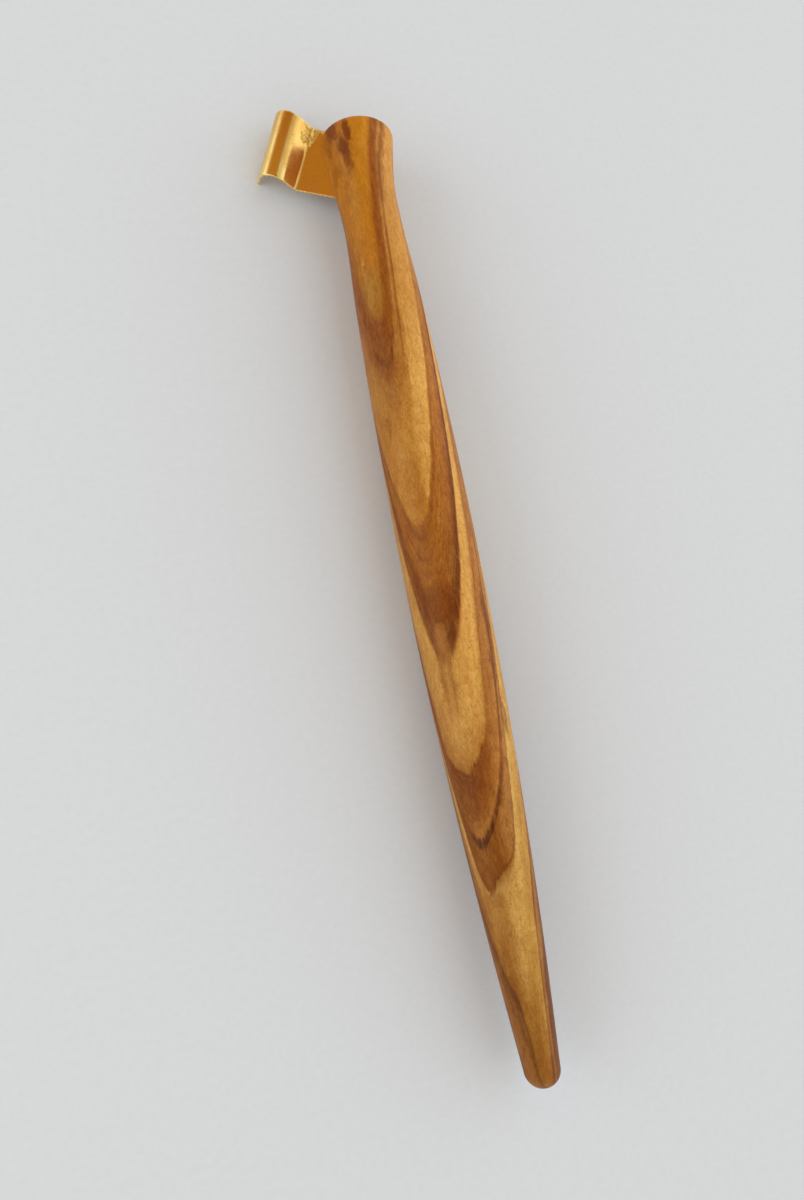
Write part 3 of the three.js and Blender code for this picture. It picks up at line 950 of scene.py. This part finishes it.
def over(station, height):
    """The point at a height over the bent line."""
    place, slope = station
    return place + height * Vector((-math.sin(slope), math.cos(slope)))


def in_channel(out, up, along):
    return (CHANNEL @ Vector((out, up, along))) * MM


def new_piece(name, corners, faces, finish, bevel=None):
    mesh = bpy.data.meshes.new(name)
    mesh.from_pydata(corners, [], faces)
    mesh.materials.append(finish)
    mesh.shade_smooth()
    piece = bpy.data.objects.new(name, mesh)
    bpy.context.scene.collection.objects.link(piece)
    if bevel:
        edge = piece.modifiers.new("eased_edges", "BEVEL")
        edge.width = bevel * MM
        edge.segments = BEVEL_STEPS
        edge.limit_method = "ANGLE"
        edge.angle_limit = CORNER_ANGLE
        shade = piece.modifiers.new("flat_faces", "WEIGHTED_NORMAL")
        shade.keep_sharp = True
    return piece


def bent_sheet(name, line, lower, upper, back, front, skew, finish):
    """A strip between two heights over the bent line, closed at its sides and ends."""
    corners, faces = [], []
    ring = 2 * len(line)
    for step in range(SHEET_STEPS + 1):
        along = back + (front - back) * step / SHEET_STEPS
        share = max(along, 0) / front
        for height, stations in ((lower, line), (upper, line[::-1])):
            for station in stations:
                point = over(station, height)
                lean = (point.x - CREASE_DISTANCE) * skew * share
                corners.append(in_channel(point.x, point.y, along + lean))
    for step in range(SHEET_STEPS):
        for i in range(ring):
            here, there = step * ring, (step + 1) * ring
            after = (i + 1) % ring
            faces.append((here + i, there + i, there + after, here + after))
    for base, order in ((0, 1), (SHEET_STEPS * ring, -1)):
        for i in range(len(line) - 1):
            cap = (base + i, base + i + 1, base + ring - 2 - i, base + ring - 1 - i)
            faces.append(cap[::order])
    return new_piece(name, corners, faces, finish, EASED_EDGE)


def solder_bead(finish):
    """A lumpy film that fills the crease at the mouth and thins out over the flank."""
    line = bent_line(CREASE_DISTANCE - WEB_WIDTH, -LIP_ANGLE, LIP_LENGTH)
    stretches = [0.0]
    for (place, _), (following, _) in zip(line, line[1:]):
        stretches.append(stretches[-1] + (following - place).length)
    corners, faces = [], []
    half = SHEET_THICKNESS / 2

    def station_at(arc):
        for i in range(len(line) - 1):
            if stretches[i] <= arc <= stretches[i + 1]:
                share = (arc - stretches[i]) / (stretches[i + 1] - stretches[i])
                place = line[i][0].lerp(line[i + 1][0], share)
                return place, line[i][1] + (line[i + 1][1] - line[i][1]) * share
        return line[-1]

    rows, columns = SOLDER_STEPS
    for layer in (0, 1):
        for row in range(rows + 1):
            for column in range(columns + 1):
                a = row / rows
                b = column / columns
                arc = SOLDER_ARC[0] + (SOLDER_ARC[1] - SOLDER_ARC[0]) * a
                along = SOLDER_REACH[0] + (SOLDER_REACH[1] - SOLDER_REACH[0]) * b
                height = solder_height(arc, along) if layer else -SOLDER_KEY
                point = over(station_at(arc), half + height)
                skew = math.tan(MOUTH_SKEW) * along / (CHANNEL_LENGTH / 2)
                lean = (point.x - CREASE_DISTANCE) * skew
                corners.append(in_channel(point.x, point.y, along + lean))
    layer_size = (rows + 1) * (columns + 1)

    def corner(layer, row, column):
        return layer * layer_size + row * (columns + 1) + column

    for row in range(rows):
        for column in range(columns):
            square = [(row, column), (row, column + 1), (row + 1, column + 1), (row + 1, column)]
            faces.append([corner(1, *place) for place in square])
            faces.append([corner(0, *place) for place in square[::-1]])
    edge = [(0, c) for c in range(columns)] + [(r, columns) for r in range(rows)]
    edge += [(rows, c) for c in range(columns, 0, -1)] + [(r, 0) for r in range(rows, 0, -1)]
    for place, following in zip(edge, edge[1:] + edge[:1]):
        faces.append([corner(1, *following), corner(1, *place), corner(0, *place), corner(0, *following)])
    return new_piece("solder_fillet", corners, faces, finish)


def waves(place, numbers):
    return sum(size * math.sin(pace * place + start) for size, pace, start in numbers)


def solder_height(arc, along):
    """How high the solder stands over the sheet: a fillet, lumps and small pits, thinned at its rim."""
    neck = 1 - smooth_share(arc, *SOLDER_NECK)
    back = SOLDER_REACH[0] + (SOLDER_NECK_BACK - SOLDER_REACH[0]) * neck
    back += waves(arc, SOLDER_BACK_WAVES)
    far = SOLDER_ARC[1] + waves(along, SOLDER_FLANK_WAVES) - SOLDER_FLANK_INSET
    rim = min(
        smooth_share(along, back, back + SOLDER_BACK_FADE - SOLDER_NECK_FADE * neck),
        smooth_share(SOLDER_REACH[1] - along, 0.0, SOLDER_MOUTH_FADE),
        smooth_share(arc, SOLDER_ARC[0], SOLDER_ARC[0] + SOLDER_WEB_FADE),
        smooth_share(far - arc, 0.0, SOLDER_FLANK_FADE),
    )
    height = SOLDER_FILM + SOLDER_FILLET * math.exp(-((arc - SOLDER_CREASE) / SOLDER_CREASE_WIDTH) ** 2)
    for lump_arc, lump_along, size, rise in SOLDER_LUMPS:
        height += rise * math.exp(-((arc - lump_arc) ** 2 + (along - lump_along) ** 2) / size ** 2)
    for pit_arc, pit_along, size, fall in SOLDER_PITS:
        height -= fall * math.exp(-((arc - pit_arc) ** 2 + (along - pit_along) ** 2) / size ** 2)
    return height * rim - SOLDER_KEY * (1 - rim)


def smooth_share(value, start, end):
    share = min(max((value - start) / (end - start), 0.0), 1.0)
    return share * share * (3 - 2 * share)


wood = olive_wood()
sheet_brass = brass("polished_brass", "#F0C672", "#E8B660", 0.22)
leaf_brass = brass("spring_brass", "#E8C474", "#DDAE5A", 0.26)
bead_solder = solder_finish()

staff = turned_staff(wood)
half_sheet = SHEET_THICKNESS / 2
flange = bent_sheet(
    "bent_flange", bent_line(CREASE_DISTANCE - WEB_WIDTH, -LIP_ANGLE, LIP_LENGTH), -half_sheet,
    half_sheet, -CHANNEL_LENGTH / 2, CHANNEL_LENGTH / 2, math.tan(MOUTH_SKEW), sheet_brass,
)
tongue_top = -half_sheet - NIB_CLEARANCE
tongue_front = CHANNEL_LENGTH / 2 - TONGUE_SETBACK
tongue = bent_sheet(
    "nib_tongue_leaf", bent_line(CREASE_DISTANCE - TONGUE_ROOT, -TONGUE_PAST_CROWN, 0.0),
    tongue_top - TONGUE_THICKNESS, tongue_top, tongue_front - TONGUE_LENGTH, tongue_front, 0.0, leaf_brass,
)
bead = solder_bead(bead_solder)

for piece, node, slot in (
    (staff, "staff", "olive_wood"),
    (flange, "flange", "polished_brass"),
    (tongue, "nib_tongue", "spring_brass"),
    (bead, "solder_bead", "solder"),
):
    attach(piece, "root")
    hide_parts(node)


# Studio: a pale floor, soft lamps and the camera

def studio_floor():
    ground = Finish("pale_floor")
    place = ground.add("ShaderNodeTexCoord", output="Object")
    tooth = ground.add("ShaderNodeTexNoise", None, {"Vector": place, "Scale": FLOOR_TOOTH, "Detail": 3.0})
    material = ground.surface({
        "Base Color": ground.ramp(tooth, painted(FLOOR_TONES)),
        "Roughness": 0.7,
        "Specular IOR Level": 0.3,
        "Normal": ground.bump(tooth, 0.01, 0.1),
    })
    mesh = bpy.data.meshes.new("floor")
    corners = [(x * FLOOR_HALF, y * FLOOR_HALF, 0) for x, y in ((-1, -1), (1, -1), (1, 1), (-1, 1))]
    mesh.from_pydata(corners, [], [(0, 1, 2, 3)])
    mesh.materials.append(material)
    floor = bpy.data.objects.new("floor", mesh)
    bpy.context.scene.collection.objects.link(floor)


def soft_lamp(name, place, size, power, color):
    lamp = bpy.data.lights.new(name, "AREA")
    lamp.shape = "RECTANGLE"
    lamp.size, lamp.size_y = size
    lamp.energy = power
    lamp.color = color
    stand = bpy.data.objects.new(name, lamp)
    stand.location = place
    stand.rotation_mode = "QUATERNION"
    stand.rotation_quaternion = (-Vector(place)).to_track_quat("-Z", "Y")
    bpy.context.scene.collection.objects.link(stand)


def studio_room():
    world = bpy.data.worlds.new("studio_room")
    world.use_nodes = True
    room = Board(world.node_tree)
    direction = room.add("ShaderNodeTexCoord", output="Generated")
    _, _, rise = room.add("ShaderNodeSeparateXYZ", None, {0: direction}, ("X", "Y", "Z"))
    tone = room.add("ShaderNodeValToRGB", {"stops": ROOM_TONES}, {"Fac": rise})
    for patch, toward, reach in (
        (CEILING_TONE, CEILING_DIRECTION, CEILING_REACH), (WALL_TONE, WALL_DIRECTION, WALL_REACH),
    ):
        facing = room.add("ShaderNodeVectorMath", {"operation": "DOT_PRODUCT"}, {
            0: direction, 1: toward,
        }, "Value")
        covered = room.add("ShaderNodeMapRange", {"interpolation_type": "SMOOTHSTEP"}, {
            0: facing, 1: reach[0], 2: reach[1],
        })
        tone = room.add("ShaderNodeMix", {"data_type": "RGBA"}, {0: covered, 6: tone, 7: patch}, 2)
    background = room.add("ShaderNodeBackground", None, {"Color": tone})
    room.add("ShaderNodeOutputWorld", None, {"Surface": background})
    bpy.context.scene.world = world


def photo_camera():
    lens = bpy.data.cameras.new("photo_camera")
    lens.sensor_width = SENSOR_WIDTH
    lens.lens = CAMERA_FOCAL_PIXELS / PHOTO_HEIGHT * SENSOR_WIDTH
    lens.clip_start, lens.clip_end = CAMERA_CLIP
    camera = bpy.data.objects.new("photo_camera", lens)
    camera.location = Vector(CAMERA_PLACE) * MM
    back = (Vector(CAMERA_PLACE) - Vector(CAMERA_AIM)).normalized()
    right = Vector(CAMERA_TOP).cross(back).normalized()
    camera.rotation_euler = Matrix((right, back.cross(right), back)).transposed().to_euler()
    bpy.context.scene.collection.objects.link(camera)
    bpy.context.scene.camera = camera


studio_floor()
studio_room()
for lamp_numbers in LAMPS:
    soft_lamp(*lamp_numbers)
photo_camera()
bpy.context.scene.view_settings.view_transform = "Standard"
